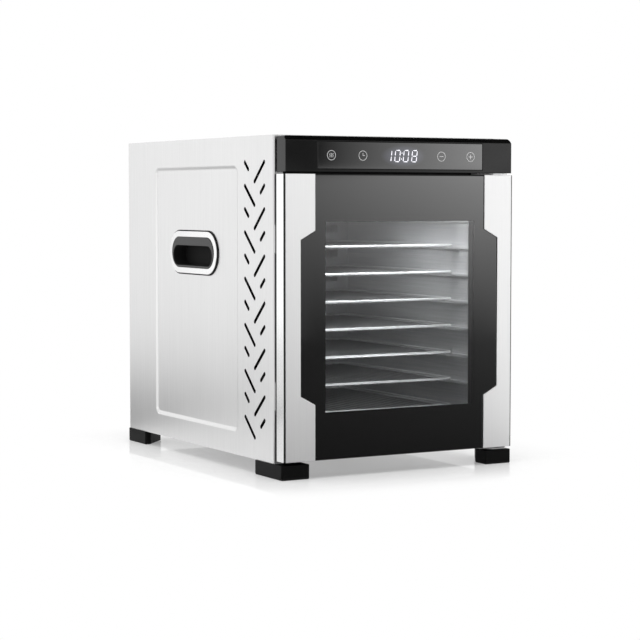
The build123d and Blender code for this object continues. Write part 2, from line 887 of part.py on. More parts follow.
def door_frame():
    frame = block(about(x_side), (y_door, y_door_back), (z_door, z_door_top))
    upright = frame.edges().filter_by(Axis.Z)
    hinge_corner = upright.group_by(Axis.X)[-1].sort_by(Axis.Y)[-1]
    frame = fillet(hinge_corner, hinge_radius)
    front = frame.edges().filter_by(Axis.Z).group_by(Axis.Y)[0]
    frame = chamfer(front, door_corner)
    frame -= block(about(x_side - door_bead), (y_door, y_recess), (z_door, z_door_top))
    frame -= along_y(glass_outline(trim_reveal), (y_recess, y_glass_back))
    frame -= along_y(frame_opening(), (y_glass_back, y_door_back))
    y_panel = y_door_back - sheet
    hollow = rectangle(
        about(x_side - door_stile), (z_door + door_wall + panel_lap, z_door_top - door_wall - panel_lap)
    )
    frame -= along_y(hollow - frame_opening(door_wall), (y_web_back, y_panel))
    frame -= along_y(inner_panel_outline(fit_clearance), (y_panel, y_door_back))
    frame -= left_strip()
    frame -= hinge_strip(strip_thickness + strip_clearance)
    for place in catch_places():
        frame -= block(magnet_span(), (y_door_back - magnet_sink, y_door_back), place)
    socket = Pos(x_hinge, y_hinge) * Circle(bush_radius + running_clearance)
    frame -= along_z(socket, (z_door, z_door + bush_length))
    frame -= along_z(socket, (z_door_top - bush_length, z_door_top))
    return frame


def door_glass():
    return along_y(glass_outline(), (y_recess, y_glass_back))


def door_inner_panel():
    return along_y(inner_panel_outline() - frame_opening(), (y_door_back - sheet, y_door_back))


# Wire tray: a flat frame with wires set low between its front and back rods
def tray(z):
    frame = rectangle(about(x_tray), (y_tray, y_tray_back))
    frame = chamfer(frame.vertices(), tray_corner)
    opening = rectangle(about(x_tray - tray_rod), (y_tray + tray_rod, y_tray_back - tray_rod))
    rods = along_z(frame - opening, about(tray_rod / 2, z))
    wire_pitch = 2 * (x_tray - tray_rod) / (tray_wires + 1)
    y_wire = (y_tray + tray_rod - weld_overlap, y_tray_back - tray_rod + weld_overlap)
    wires = [
        rectangle(about(tray_wire / 2, (wire - (tray_wires - 1) / 2) * wire_pitch), y_wire)
        for wire in range(tray_wires)
    ]
    z_wire = z - tray_rod / 2
    return rods + along_z(Sketch() + wires, (z_wire, z_wire + tray_wire_height))


right_panel = side_panel()
right_bezel = grip_bezel()
right_cup = grip_cup()
right_liner = liner_wall()
right_trim = door_trim()
lower_level, upper_level = bracket_levels()
front_foot = foot(y_door + front_foot_setback, front_foot_length, 1)
rear_foot = foot(y_rear - rear_foot_setback, rear_foot_length, -1)

nodes = {
    "left_side_panel": left_of(right_panel),
    "right_side_panel": right_panel,
    "top_panel": top_panel(),
    "base_pan": base_pan(),
    "back_panel": back_panel(),
    "back_panel_screws": back_panel_screws(),
    "cord_gland": cord_gland(),
    "front_frame": front_frame(),
    "door_gasket": door_gasket(),
    "left_liner": left_of(right_liner),
    "right_liner": right_liner,
    "liner_floor": liner_floor(),
    "liner_ceiling": liner_ceiling(),
    "fan_baffle": fan_baffle(),
    "fan_housing": fan_housing(),
    "fan_motor": fan_motor(),
    "motor_coil": motor_coil(),
    "heater_frame": heater_frame(),
    "heater_ribbon": heater_ribbon(),
    "thermal_cutout": thermal_cutout(),
    "temperature_probe": temperature_probe(),
    "grip_bezels": left_of(right_bezel) + right_bezel,
    "grip_cups": left_of(right_cup) + right_cup,
    "control_bezel": control_bezel(),
    "control_glass": control_glass(),
    "control_board": control_board(),
    "display_module": display_module(),
    "power_board": power_board(),
    "front_left_foot": left_of(front_foot),
    "front_right_foot": front_foot,
    "rear_left_foot": left_of(rear_foot),
    "rear_right_foot": rear_foot,
    "lower_hinge_bracket": hinge_bracket(lower_level),
    "upper_hinge_bracket": hinge_bracket(upper_level),
    "hinge_pins": hinge_pins(),
    "strike_plates": strike_plates(),
    "door_frame": door_frame(),
    "door_inner_panel": door_inner_panel(),
    "door_glass": door_glass(),
    "left_door_trim": left_of(right_trim),
    "right_door_trim": right_trim,
    "left_door_strip": left_strip(),
    "right_door_strip": hinge_strip(strip_thickness),
    "catch_magnets": catch_magnets(),
    "hinge_bushes": hinge_bushes(),
    "fan_impeller": fan_impeller(),
    "fan_shaft": fan_shaft(),
    "fan_nut": fan_nut(),
}
for number, level in enumerate(tray_levels, start=1):
    nodes[f"tray_{number}"] = tray(level)

os.makedirs("parts", exist_ok=True)
for name, shape in nodes.items():
    export_step(shape, f"parts/{name}.step")
print(len(nodes), "nodes; tray pitch", round(tray_pitch, 3))
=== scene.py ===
import math

import bmesh
import bpy
from mathutils import Matrix, Vector


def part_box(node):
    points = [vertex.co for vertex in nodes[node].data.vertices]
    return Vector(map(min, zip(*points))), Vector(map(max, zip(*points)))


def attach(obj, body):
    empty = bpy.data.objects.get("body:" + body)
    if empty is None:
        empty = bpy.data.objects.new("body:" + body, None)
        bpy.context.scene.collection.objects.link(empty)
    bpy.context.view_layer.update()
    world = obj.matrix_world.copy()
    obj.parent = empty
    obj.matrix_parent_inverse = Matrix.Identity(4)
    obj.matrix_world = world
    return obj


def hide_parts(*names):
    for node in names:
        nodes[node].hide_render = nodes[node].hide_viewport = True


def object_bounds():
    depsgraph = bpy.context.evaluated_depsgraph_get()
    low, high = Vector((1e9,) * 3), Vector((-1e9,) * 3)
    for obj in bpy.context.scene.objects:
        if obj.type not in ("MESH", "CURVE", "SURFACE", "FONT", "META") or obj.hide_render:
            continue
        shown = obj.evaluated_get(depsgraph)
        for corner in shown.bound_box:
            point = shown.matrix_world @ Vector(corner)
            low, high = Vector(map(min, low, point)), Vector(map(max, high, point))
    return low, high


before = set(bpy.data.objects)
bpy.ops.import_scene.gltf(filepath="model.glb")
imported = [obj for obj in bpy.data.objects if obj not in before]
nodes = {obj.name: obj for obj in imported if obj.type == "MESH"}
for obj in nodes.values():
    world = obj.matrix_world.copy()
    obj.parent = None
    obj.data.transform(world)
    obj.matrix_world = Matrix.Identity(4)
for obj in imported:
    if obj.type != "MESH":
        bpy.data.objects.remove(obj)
cadLow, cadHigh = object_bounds()
scene = bpy.context.scene
scene.view_settings.view_transform = "Standard"
print("frame loaded,", len(nodes), "nodes")


class Sock:
    # a socket that can stand in a sum, each sign adding a Math node
    def __init__(self, finish, socket):
        self.finish = finish
        self.socket = socket

    def calc(self, operation, first, second):
        return self.finish.node("ShaderNodeMath", {"operation": operation}, {0: first, 1: second})

    def __add__(self, other):
        return self.calc("ADD", self, other)

    def __radd__(self, other):
        return self.calc("ADD", other, self)

    def __sub__(self, other):
        return self.calc("SUBTRACT", self, other)

    def __rsub__(self, other):
        return self.calc("SUBTRACT", other, self)

    def __mul__(self, other):
        return self.calc("MULTIPLY", self, other)

    def __rmul__(self, other):
        return self.calc("MULTIPLY", other, self)

    def __truediv__(self, other):
        return self.calc("DIVIDE", self, other)

    def __pow__(self, other):
        return self.calc("POWER", self, other)

    def __lt__(self, other):
        return self.calc("LESS_THAN", self, other)

    def __gt__(self, other):
        return self.calc("GREATER_THAN", self, other)

    def __abs__(self):
        return self.calc("ABSOLUTE", self, 0.0)

    def atLeast(self, other):
        return self.calc("MAXIMUM", self, other)

    def atMost(self, other):
        return self.calc("MINIMUM", self, other)

    def toAndFro(self, width):
        return self.calc("PINGPONG", self, width)


# What the finishes share: noise settings, the stretch of noise that carries the tone, bump depth
surface = {"detail": 2.0, "rasp": 0.6, "strokeDetail": 3.0, "contrast": (0.3, 0.7), "depth": 0.0002}


class Finish:
    # the nodes of one material, or of the world
    def __init__(self, owner):
        owner.use_nodes = True
        self.owner = owner
        self.tree = owner.node_tree
        self.tree.nodes.clear()

    def node(self, kind, settings=None, sockets=None, out=0):
        made = self.tree.nodes.new(kind)
        for key, value in (settings or {}).items():
            setattr(made, key, value)
        for key, value in (sockets or {}).items():
            if isinstance(value, Sock):
                self.tree.links.new(value.socket, made.inputs[key])
            else:
                made.inputs[key].default_value = value
        return Sock(self, made.outputs[out]) if made.outputs else None

    def place(self):
        return self.node("ShaderNodeTexCoord", out="Object")

    def axis(self, letter):
        return self.node("ShaderNodeSeparateXYZ", sockets={0: self.place()}, out=letter)

    def scaled(self, scale):
        return self.node("ShaderNodeMapping", sockets={"Vector": self.place(), "Scale": scale})

    def marked(self, attribute):
        return self.node("ShaderNodeAttribute", {"attribute_name": attribute}, out="Fac")

    def noise(self, vector, scale, detail=surface["detail"], roughness=0.5):
        sockets = {"Vector": vector, "Scale": scale, "Detail": detail, "Roughness": roughness}
        return self.node("ShaderNodeTexNoise", sockets=sockets)

    def clouds(self, scale):
        return self.noise(self.place(), scale)

    def grain(self, scale):
        return self.noise(self.place(), scale, roughness=surface["rasp"])

    def strokes(self, scale):
        # brush lines, drawn out along the axis with the smallest scale
        return self.noise(self.scaled(scale), 1.0, surface["strokeDetail"], surface["rasp"])

    def cells(self, vector, scale, out, feature="F1"):
        sockets = {"Vector": vector, "Scale": scale}
        return self.node("ShaderNodeTexVoronoi", {"feature": feature}, sockets, out)

    def smooth(self, value, low, high):
        sockets = {0: value, 1: low, 2: high}
        return self.node("ShaderNodeMapRange", {"interpolation_type": "SMOOTHSTEP"}, sockets)

    def contrast(self, value):
        return self.smooth(value, *surface["contrast"])

    def mix(self, first, second, factor):
        # 6, 7 and output 2 are the node's colour sockets
        return self.node("ShaderNodeMix", {"data_type": "RGBA"}, {0: factor, 6: first, 7: second}, 2)

    def tone(self, look, shade):
        return self.mix(look["dark"], look["light"], shade)

    def varied(self, look, value):
        # roughness that swings about its middle
        return look["roughness"] + (value - 0.5) * look["spread"]

    def bump(self, height, strength, depth=surface["depth"]):
        sockets = {"Height": height, "Strength": strength, "Distance": depth}
        return self.node("ShaderNodeBump", sockets=sockets)

    def skin(self, sockets):
        return self.node("ShaderNodeBsdfPrincipled", sockets=sockets)

    def mirror(self, roughness):
        return self.node("ShaderNodeBsdfGlossy", sockets={"Color": grey(1.0), "Roughness": roughness})

    def glow(self, strength):
        return self.node("ShaderNodeEmission", sockets={"Color": grey(1.0), "Strength": strength})

    def blendOf(self, first, second, factor):
        return self.node("ShaderNodeMixShader", sockets={0: factor, 1: first, 2: second})

    def seen(self):
        # 1 for rays that show the background: from the camera, in gloss and through glass
        rays = ("Is Camera Ray", "Is Glossy Ray", "Is Transmission Ray")
        camera, gloss, through = (self.node("ShaderNodeLightPath", out=ray) for ray in rays)
        return (camera + gloss + through).atMost(1.0)

    def close(self, shader):
        self.node("ShaderNodeOutputMaterial", sockets={"Surface": shader})
        return self.owner


def newFinish(name):
    return Finish(bpy.data.materials.new(name))


def grey(level, warmth=0.0):
    return (level * (1 + warmth), level, level * (1 - warmth), 1.0)


def middleOf(node):
    low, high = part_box(node)
    return (low + high) / 2


# Brushed sheet: fine strokes along one axis and broad soft clouds
sheetGrain = {"clouds": 7.0, "strokeShare": 0.75}
sheetLooks = {
    "slottedSteel": {"dark": grey(0.66), "light": grey(0.71), "strokes": (900.0, 900.0, 9.0),
                     "roughness": 0.34, "spread": 0.06, "bump": 0.012, "slotShadeTone": grey(0.01)},
    "topSheet": {"dark": grey(0.66), "light": grey(0.71), "strokes": (9.0, 900.0, 900.0),
                 "roughness": 0.34, "spread": 0.06, "bump": 0.012},
    # door trims a paler tone than the same stainless on the panels: painted highlight
    "trimSatin": {"dark": grey(0.90), "light": grey(0.93), "strokes": (900.0, 900.0, 9.0),
                  "roughness": 0.52, "spread": 0.06, "bump": 0.012},
    "linerSteel": {"dark": grey(0.56), "light": grey(0.66), "strokes": (700.0, 8.0, 700.0),
                   "roughness": 0.4, "spread": 0.14, "bump": 0.04},
    "bracketSteel": {"dark": grey(0.6), "light": grey(0.72), "strokes": (9.0, 600.0, 600.0),
                     "roughness": 0.3, "spread": 0.1, "bump": 0.04},
    "heaterAlloy": {"dark": grey(0.3, 0.04), "light": grey(0.46, 0.05), "strokes": (20.0, 500.0, 500.0),
                    "roughness": 0.45, "spread": 0.2, "bump": 0.05},
    "fanAluminium": {"dark": grey(0.64), "light": grey(0.74), "strokes": (400.0, 60.0, 400.0),
                     "roughness": 0.35, "spread": 0.1, "bump": 0.03},
}


def brushedSheet(name, look):
    finish = newFinish(name)
    strokes = finish.strokes(look["strokes"])
    clouds = finish.clouds(sheetGrain["clouds"])
    share = sheetGrain["strokeShare"]
    tone = finish.tone(look, finish.contrast(strokes * share + clouds * (1 - share)))
    metal = 1.0
    # slot walls painted near black and not metallic: painted shade inside the slots
    if "slotShadeTone" in look:
        cut = finish.marked("cutEdge")
        tone = finish.mix(tone, look["slotShadeTone"], cut)
        metal = 1 - cut
    return finish.close(finish.skin({
        "Base Color": tone,
        "Metallic": metal,
        "Roughness": finish.varied(look, strokes),
        "Normal": finish.bump(strokes, look["bump"]),
    }))


# Plain moulding, plating or casting: a fine grain over broad clouds
solidGrain = {"clouds": 12.0, "grainShare": 0.5, "metallic": 0.0, "specular": 0.5, "spread": 0.1}
solidLooks = {
    "brightRim": {"dark": grey(0.69), "light": grey(0.75), "grain": 900.0, "metallic": 1.0,
                  "roughness": 0.2, "bump": 0.01},
    "pinSteel": {"dark": grey(0.68), "light": grey(0.78), "grain": 500.0, "metallic": 1.0,
                 "roughness": 0.22, "bump": 0.02},
    "mouldedBlack": {"dark": grey(0.010), "light": grey(0.018), "grain": 2200.0, "roughness": 0.46,
                     "bump": 0.12, "specular": 0.25},
    # front frame near black: painted shade for the gap round the door
    "gapShadeBlack": {"dark": grey(0.010), "light": grey(0.018), "grain": 1200.0, "roughness": 0.5,
                  "bump": 0.06, "specular": 0.25},
    "glossBlack": {"dark": grey(0.002), "light": grey(0.003), "grain": 1500.0, "roughness": 0.16,
                   "spread": 0.06, "bump": 0.02, "specular": 0.22},
    "gasketSilicone": {"dark": grey(0.014), "light": grey(0.026), "grain": 900.0, "roughness": 0.6,
                       "bump": 0.08, "specular": 0.3},
    "footRubber": {"dark": grey(0.004), "light": grey(0.007), "grain": 700.0, "roughness": 0.5,
                   "bump": 0.1, "specular": 0.07},
    "displayBlack": {"dark": grey(0.012), "light": grey(0.02), "grain": 900.0, "roughness": 0.25,
                     "bump": 0.02},
    "phenolic": {"dark": (0.13, 0.07, 0.045, 1.0), "light": (0.23, 0.13, 0.085, 1.0), "grain": 260.0,
                 "roughness": 0.42, "bump": 0.06},
    "bushNylon": {"dark": grey(0.74, 0.02), "light": grey(0.84, 0.02), "grain": 500.0, "roughness": 0.45,
                  "bump": 0.04},
    "magnetFerrite": {"dark": grey(0.07), "light": grey(0.13), "grain": 380.0, "roughness": 0.6,
                      "bump": 0.12},
}


def grainedSolid(name, look):
    look = {**solidGrain, **look}
    finish = newFinish(name)
    grain = finish.grain(look["grain"])
    clouds = finish.clouds(look["clouds"])
    share = look["grainShare"]
    return finish.close(finish.skin({
        "Base Color": finish.tone(look, finish.contrast(grain * share + clouds * (1 - share))),
        "Metallic": look["metallic"],
        "Roughness": finish.varied(look, clouds),
        "Specular IOR Level": look["specular"],
        "Normal": finish.bump(grain, look["bump"]),
    }))


# Zinc-coated sheet with its crystal spangle
zincLook = {"dark": grey(0.56), "light": grey(0.64), "spangle": 120.0, "least": 0.15, "swing": 0.7,
            "roughness": 0.42, "spread": 0.1}


def zincSheet(name, look):
    finish = newFinish(name)
    cells = finish.cells(finish.place(), look["spangle"], "Color")
    crystal = finish.node("ShaderNodeSeparateColor", sockets={0: cells})
    return finish.close(finish.skin({
        "Base Color": finish.tone(look, crystal * look["swing"] + look["least"]),
        "Metallic": 1.0,
        "Roughness": finish.varied(look, crystal),
    }))


# Cavity walls: satin inside; the side that faces the panel painted near black and dull, painted shade for
# what shows through the slots
linerWallLook = {"dark": grey(0.56), "light": grey(0.66), "strokes": (700.0, 8.0, 700.0), "metal": 0.5,
                 "roughness": 0.4, "spread": 0.1, "paintedShade": grey(0.008), "paintedShadeDepth": 0.0005,
                 "paintedShadeRoughness": 0.8}


def linerWall(name, look):
    finish = newFinish(name)
    strokes = finish.strokes(look["strokes"])
    bare = abs(finish.axis("X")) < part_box("right_liner")[1].x - look["paintedShadeDepth"]
    satin = finish.tone(look, finish.contrast(strokes))
    duller = (1 - bare) * (look["paintedShadeRoughness"] - look["roughness"])
    return finish.close(finish.skin({
        # outer face painted near black: painted shade
        "Base Color": finish.mix(look["paintedShade"], satin, bare),
        "Metallic": bare * look["metal"],
        "Roughness": finish.varied(look, strokes) + duller,
    }))


# Tray racks of one plated wire: the bent rods painted pale as painted highlight, the thin wires painted dark
# as painted shade
trayWireLook = {"wire": grey(0.28), "rim": grey(0.86), "grain": 600.0, "grainShare": 0.15, "metallic": 0.6,
                "roughness": 0.32, "spread": 0.1, "bump": 0.05}


def trayWire(name, look):
    finish = newFinish(name)
    grain = finish.grain(look["grain"])
    share = look["grainShare"]
    shade = finish.marked("rimRod") * (1 - share) + grain * share
    return finish.close(finish.skin({
        "Base Color": finish.mix(look["wire"], look["rim"], shade),
        "Metallic": look["metallic"],
        "Roughness": finish.varied(look, grain),
        "Normal": finish.bump(grain, look["bump"]),
    }))


# Grip cup: satin on the collar, dull down in the pocket, and darker there as painted shade
gripCupLook = {"collar": grey(0.02), "deep": grey(0.002), "collarDepth": 0.0006, "pocketDepth": 0.0016,
               "collarRoughness": 0.35, "deepRoughness": 0.85, "specular": 0.35, "grain": 1800.0,
               "bump": 0.08}


def gripCup(name, look):
    finish = newFinish(name)
    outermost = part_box("grip_cups")[1].x
    pocket = outermost - look["pocketDepth"]
    collar = outermost - look["collarDepth"]
    # painted shade: the colour darkens deeper into the pocket
    out = finish.smooth(abs(finish.axis("X")), pocket, collar)
    return finish.close(finish.skin({
        "Base Color": finish.mix(look["deep"], look["collar"], out),
        "Roughness": look["deepRoughness"] - out * (look["deepRoughness"] - look["collarRoughness"]),
        "Specular IOR Level": look["specular"],
        "Normal": finish.bump(finish.clouds(look["grain"]), look["bump"]),
    }))


# Green board with paler tracks
circuitBoardLook = {"mask": (0.02, 0.13, 0.045, 1.0), "track": (0.05, 0.24, 0.09, 1.0), "pitch": 210.0,
                    "stretch": (1.0, 1.0, 0.35), "line": 0.06, "roughness": 0.35, "bump": 0.2,
                    "depth": 0.0001}


def circuitBoard(name, look):
    finish = newFinish(name)
    toEdge = finish.cells(finish.scaled(look["stretch"]), look["pitch"], "Distance", "DISTANCE_TO_EDGE")
    line = toEdge < look["line"]
    return finish.close(finish.skin({
        "Base Color": finish.mix(look["mask"], look["track"], line),
        "Roughness": look["roughness"],
        "Normal": finish.bump(line, look["bump"], look["depth"]),
    }))


# Stacked steel sheets of the motor, and turns of wire on its coil
bandGrain = {"grain": 300.0, "bandShare": 0.7, "depth": 0.0003, "metallic": 1.0}
bandLooks = {
    "motorSteel": {"across": "Y", "pitch": 0.0005, "dark": grey(0.26), "light": grey(0.44),
                   "roughness": 0.5, "bump": 0.3},
    "coilCopper": {"across": "X", "pitch": 0.0004, "dark": (0.42, 0.17, 0.06, 1.0),
                   "light": (0.75, 0.38, 0.18, 1.0), "roughness": 0.3, "bump": 0.5},
}


def bandedMetal(name, look):
    look = {**bandGrain, **look}
    finish = newFinish(name)
    band = finish.axis(look["across"]).toAndFro(look["pitch"]) / look["pitch"]
    share = look["bandShare"]
    return finish.close(finish.skin({
        "Base Color": finish.tone(look, band * share + finish.clouds(look["grain"]) * (1 - share)),
        "Metallic": look["metallic"],
        "Roughness": look["roughness"],
        "Normal": finish.bump(band, look["bump"], look["depth"]),
    }))


# Pressed mica with bright flakes
micaLook = {"dark": (0.3, 0.24, 0.17, 1.0), "light": (0.58, 0.5, 0.39, 1.0), "flake": 160.0,
            "flakeShare": 0.5, "mottle": 40.0, "mottleDetail": 4.0, "roughness": 0.35, "flakeRoughness": 0.3}


def micaSheet(name, look):
    finish = newFinish(name)
    flakes = finish.cells(finish.place(), look["flake"], "Distance")
    mottle = finish.noise(finish.place(), look["mottle"], look["mottleDetail"])
    share = look["flakeShare"]
    return finish.close(finish.skin({
        "Base Color": finish.tone(look, flakes * share + mottle * (1 - share)),
        "Roughness": look["roughness"] + flakes * look["flakeRoughness"],
    }))


# Door glass: a black printed border round a smoked clear window, which mirrors more at a slant
doorGlassLook = {"border": grey(0.004), "borderRoughness": 0.05, "gloss": 1.0, "sideBorder": 0.0345,
                 "endBorder": 0.056, "tint": (0.74, 0.75, 0.76, 1.0), "polish": 0.02, "mirror": 0.08,
                 "falloff": 5}


def doorGlass(name, look):
    finish = newFinish(name)
    low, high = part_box("door_glass")
    across = abs(finish.axis("X")) < high.x - look["sideBorder"]
    above = finish.axis("Z") > low.z + look["endBorder"]
    below = finish.axis("Z") < high.z - look["endBorder"]
    border = finish.skin({"Base Color": look["border"], "Roughness": look["borderRoughness"],
                          "Specular IOR Level": look["gloss"]})
    clear = finish.node("ShaderNodeBsdfTransparent", sockets={"Color": look["tint"]})
    slant = finish.node("ShaderNodeLayerWeight", sockets={"Blend": 0.5}, out="Facing")
    sheen = (slant ** look["falloff"]) * (1 - look["mirror"]) + look["mirror"]
    frontFace = finish.axis("Y") < middleOf("door_glass").y
    pane = finish.blendOf(clear, finish.mirror(look["polish"]), sheen * frontFace)
    return finish.close(finish.blendOf(border, pane, across * (above * below)))


# Control glass: black print that the lit figures glow through
controlGlassLook = {"print": grey(0.006), "roughness": 0.06, "specular": 0.9, "glow": (0.3, 0.31, 0.42, 1.0),
                    "glowAside": 0.002, "glowHalfX": 0.034, "glowHalfZ": 0.0145, "fade": (0.15, 1.0),
                    "level": 0.16}


def controlGlass(name, look):
    finish = newFinish(name)
    middle = middleOf("control_glass")
    offX = (finish.axis("X") - (middle.x + look["glowAside"])) / look["glowHalfX"]
    offZ = (finish.axis("Z") - middle.z) / look["glowHalfZ"]
    halo = 1 - finish.smooth(offX * offX + offZ * offZ, *look["fade"])
    return finish.close(finish.skin({
        "Base Color": look["print"],
        "Roughness": look["roughness"],
        "Specular IOR Level": look["specular"],
        "Emission Color": finish.mix(grey(0.0), look["glow"], halo),
        "Emission Strength": look["level"],
    }))


# Print on the control glass: lit figures, and key signs that hardly glow
printInk = {"dark": grey(0.75), "light": grey(0.85), "clouds": 60.0, "roughness": 0.4}
printLooks = {
    "litFigures": {"glow": (0.88, 0.88, 1.0, 1.0), "level": 0.75},
    "keyPrint": {"glow": (0.7, 0.7, 0.7, 1.0), "level": 0.05},
}


def litPrint(name, look):
    finish = newFinish(name)
    return finish.close(finish.skin({
        "Base Color": finish.tone(printInk, finish.clouds(printInk["clouds"])),
        "Roughness": printInk["roughness"],
        "Emission Color": look["glow"],
        "Emission Strength": look["level"],
    }))


finishes = {}
families = [(brushedSheet, sheetLooks), (grainedSolid, solidLooks), (bandedMetal, bandLooks),
            (litPrint, printLooks)]
for maker, looks in families:
    for name, look in looks.items():
        finishes[name] = maker(name, look)
singles = [(zincSheet, zincLook), (linerWall, linerWallLook), (trayWire, trayWireLook),
           (gripCup, gripCupLook), (circuitBoard, circuitBoardLook), (micaSheet, micaLook),
           (doorGlass, doorGlassLook), (controlGlass, controlGlassLook)]
for maker, look in singles:
    name = maker.__name__  # a finish of its own is named for its function
    finishes[name] = maker(name, look)
print("finishes made,", len(finishes))

trayCount = sum(name.startswith("tray_") for name in nodes)
trays = [f"tray_{number}" for number in range(1, trayCount + 1)]
feet = [f"{end}_{side}_foot" for end in ("front", "rear") for side in ("left", "right")]
# What each part of the frame is made of: record slot, finish, nodes
partFinishes = [
    ("stainless", "slottedSteel", ["left_side_panel", "right_side_panel"]),
    ("stainless", "topSheet", ["top_panel"]),
    ("stainless", "trimSatin", ["left_door_trim", "right_door_trim"]),
    ("stainless", "brightRim", ["left_door_strip", "right_door_strip"]),
    # front frame painted near black as painted shade in the door gap
    ("black_coat", "gapShadeBlack", ["front_frame"]),
    ("zinc_sheet", "zincSheet", ["base_pan", "back_panel", "fan_housing"]),
    ("liner_steel", "linerWall", ["left_liner", "right_liner"]),
    ("liner_steel", "linerSteel", ["liner_floor", "liner_ceiling", "fan_baffle", "door_inner_panel"]),
    ("bright_rim", "brightRim", ["grip_bezels"]),
    ("moulded_black", "gripCup", ["grip_cups"]),
    ("moulded_black", "mouldedBlack", ["door_frame", "cord_gland"]),
    ("gloss_black", "glossBlack", ["control_bezel"]),
    ("door_glass", "doorGlass", ["door_glass"]),
    ("control_glass", "controlGlass", ["control_glass"]),
    ("gasket_silicone", "gasketSilicone", ["door_gasket"]),
    ("foot_rubber", "footRubber", feet),
    ("circuit_board", "circuitBoard", ["control_board", "power_board"]),
    ("display_black", "displayBlack", ["display_module"]),
    ("motor_steel", "motorSteel", ["fan_motor"]),
    ("coil_copper", "coilCopper", ["motor_coil"]),
    ("mica", "micaSheet", ["heater_frame"]),
    ("heater_alloy", "heaterAlloy", ["heater_ribbon"]),
    ("phenolic", "phenolic", ["thermal_cutout"]),
    ("bracket_steel", "bracketSteel", ["lower_hinge_bracket", "upper_hinge_bracket", "strike_plates"]),
    ("pin_steel", "pinSteel", ["hinge_pins", "back_panel_screws", "fan_shaft", "fan_nut",
                               "temperature_probe"]),
    ("bush_nylon", "bushNylon", ["hinge_bushes"]),
    ("magnet", "magnetFerrite", ["catch_magnets"]),
    ("fan_aluminium", "fanAluminium", ["fan_impeller"]),
    ("tray_wire", "trayWire", trays),
]
finishOf = {}
for slotName, finishName, names in partFinishes:
    for name in names:
        finishOf[name] = finishes[finishName]
        nodes[name].data.materials.clear()
        nodes[name].data.materials.append(finishOf[name])


def asObject(bm, name):
    mesh = bpy.data.meshes.new(name)
    bm.to_mesh(mesh)
    bm.free()
    thing = bpy.data.objects.new(name, mesh)
    scene.collection.objects.link(thing)
    return thing


# Shading of a finished piece: sharp past the edge angle, flat faces kept flat by their weight
shading = {"edge": 35.0, "flatWeight": 100}


def keep(bm, name, finish, body, replaced=(), edge=shading["edge"], flat=False):
    piece = asObject(bm, name)
    mesh = piece.data
    mesh.polygons.foreach_set("use_smooth", [True] * len(mesh.polygons))
    mesh.set_sharp_from_angle(angle=math.radians(edge))
    mesh.materials.append(finish)
    if flat:
        level = piece.modifiers.new("flatFaces", "WEIGHTED_NORMAL")
        level.keep_sharp = True
        level.weight = shading["flatWeight"]
    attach(piece, body)
    if replaced:
        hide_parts(*replaced)
    return piece


# A copy of a frame mesh: loose triangles joined into whole flat faces
joining = {"gap": 1e-6, "flatAngle": 0.5}


def joinedCopy(node, look):
    bm = bmesh.new()
    bm.from_mesh(nodes[node].data)
    bmesh.ops.remove_doubles(bm, verts=bm.verts, dist=look["gap"])
    flatAngle = math.radians(look["flatAngle"])
    bmesh.ops.dissolve_limit(bm, angle_limit=flatAngle, verts=bm.verts, edges=bm.edges)
    return bm


def foldedEdges(bm, least, most=180.0):
    # edges that fold by an angle between these two, in degrees
    return [edge for edge in bm.edges if math.radians(least) < edge.calc_face_angle(0.0) < math.radians(most)]


def rounded(bm, edges, width, steps):
    bmesh.ops.bevel(bm, geom=edges, offset=width, offset_type="OFFSET", segments=steps, profile=0.5,
                    affect="EDGES", clamp_overlap=True, material=-1)


# Edges broken by a small round
softLook = {"segments": 2, "angle": 24.0, "shade": 40.0}
softEdges = {
    "cabinet": {**dict.fromkeys(feet, 0.0012), "control_bezel": 0.0007, "grip_bezels": 0.0004,
                "grip_cups": 0.0005, "control_glass": 0.0004, "top_panel": 0.0004, "cord_gland": 0.0006,
                "lower_hinge_bracket": 0.0003, "upper_hinge_bracket": 0.0003},
    "door": {"left_door_trim": 0.0003, "right_door_trim": 0.0003, "left_door_strip": 0.0003,
             "right_door_strip": 0.0003, "door_frame": 0.0005},
}


def softened(node, body, width, look):
    bm = joinedCopy(node, joining)
    rounded(bm, foldedEdges(bm, look["angle"]), width, look["segments"])
    keep(bm, node + "_soft", finishOf[node], body, [node], look["shade"], True)


for body, widths in softEdges.items():
    for node, width in widths.items():
        softened(node, body, width, softLook)
print("edges softened")

# Side panels: the slots, in a field set in from the panel's edges, get round ends, and the pressed part
# gets soft folds
sidePanel = {"fieldFront": 0.012, "fieldBack": 0.087, "fieldLow": 0.012, "fieldHigh": 0.015,
             "sheetLeast": 0.0005, "sheetMost": 0.0011, "slotRound": 0.00245, "slotSteps": 4, "sideways": 0.5,
             "foldLow": 20.0, "foldHigh": 34.0, "foldRound": 0.0014, "foldSteps": 3, "shade": 38.0}


def pressedPanel(node, look):
    bm = joinedCopy(node, joining)
    low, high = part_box(node)
    gap = joining["gap"]

    def inField(spot):
        return (low.y + look["fieldFront"] < spot.y < low.y + look["fieldBack"]
                and low.z + look["fieldLow"] < spot.z < high.z - look["fieldHigh"])

    def throughSheet(edge):
        start, end = (vert.co for vert in edge.verts)
        step = end - start
        return (look["sheetLeast"] < abs(step.x) < look["sheetMost"] and abs(step.y) < gap
                and abs(step.z) < gap and inField(start))

    corners = [edge for edge in bm.edges if throughSheet(edge)]
    rounded(bm, corners, look["slotRound"], look["slotSteps"])
    folds = [edge for edge in foldedEdges(bm, look["foldLow"], look["foldHigh"])
             if abs(edge.verts[0].co.x - edge.verts[1].co.x) < gap]
    rounded(bm, folds, look["foldRound"], look["foldSteps"])
    # the slot walls are marked to take the painted shade
    cut = bm.faces.layers.float.new("cutEdge")
    for face in bm.faces:
        face[cut] = float(inField(face.calc_center_median()) and abs(face.normal.x) < look["sideways"])
    print(node, len(corners), "slot corners,", len(folds), "folds")
    keep(bm, node + "_pressed", finishOf[node], "cabinet", [node], look["shade"], True)


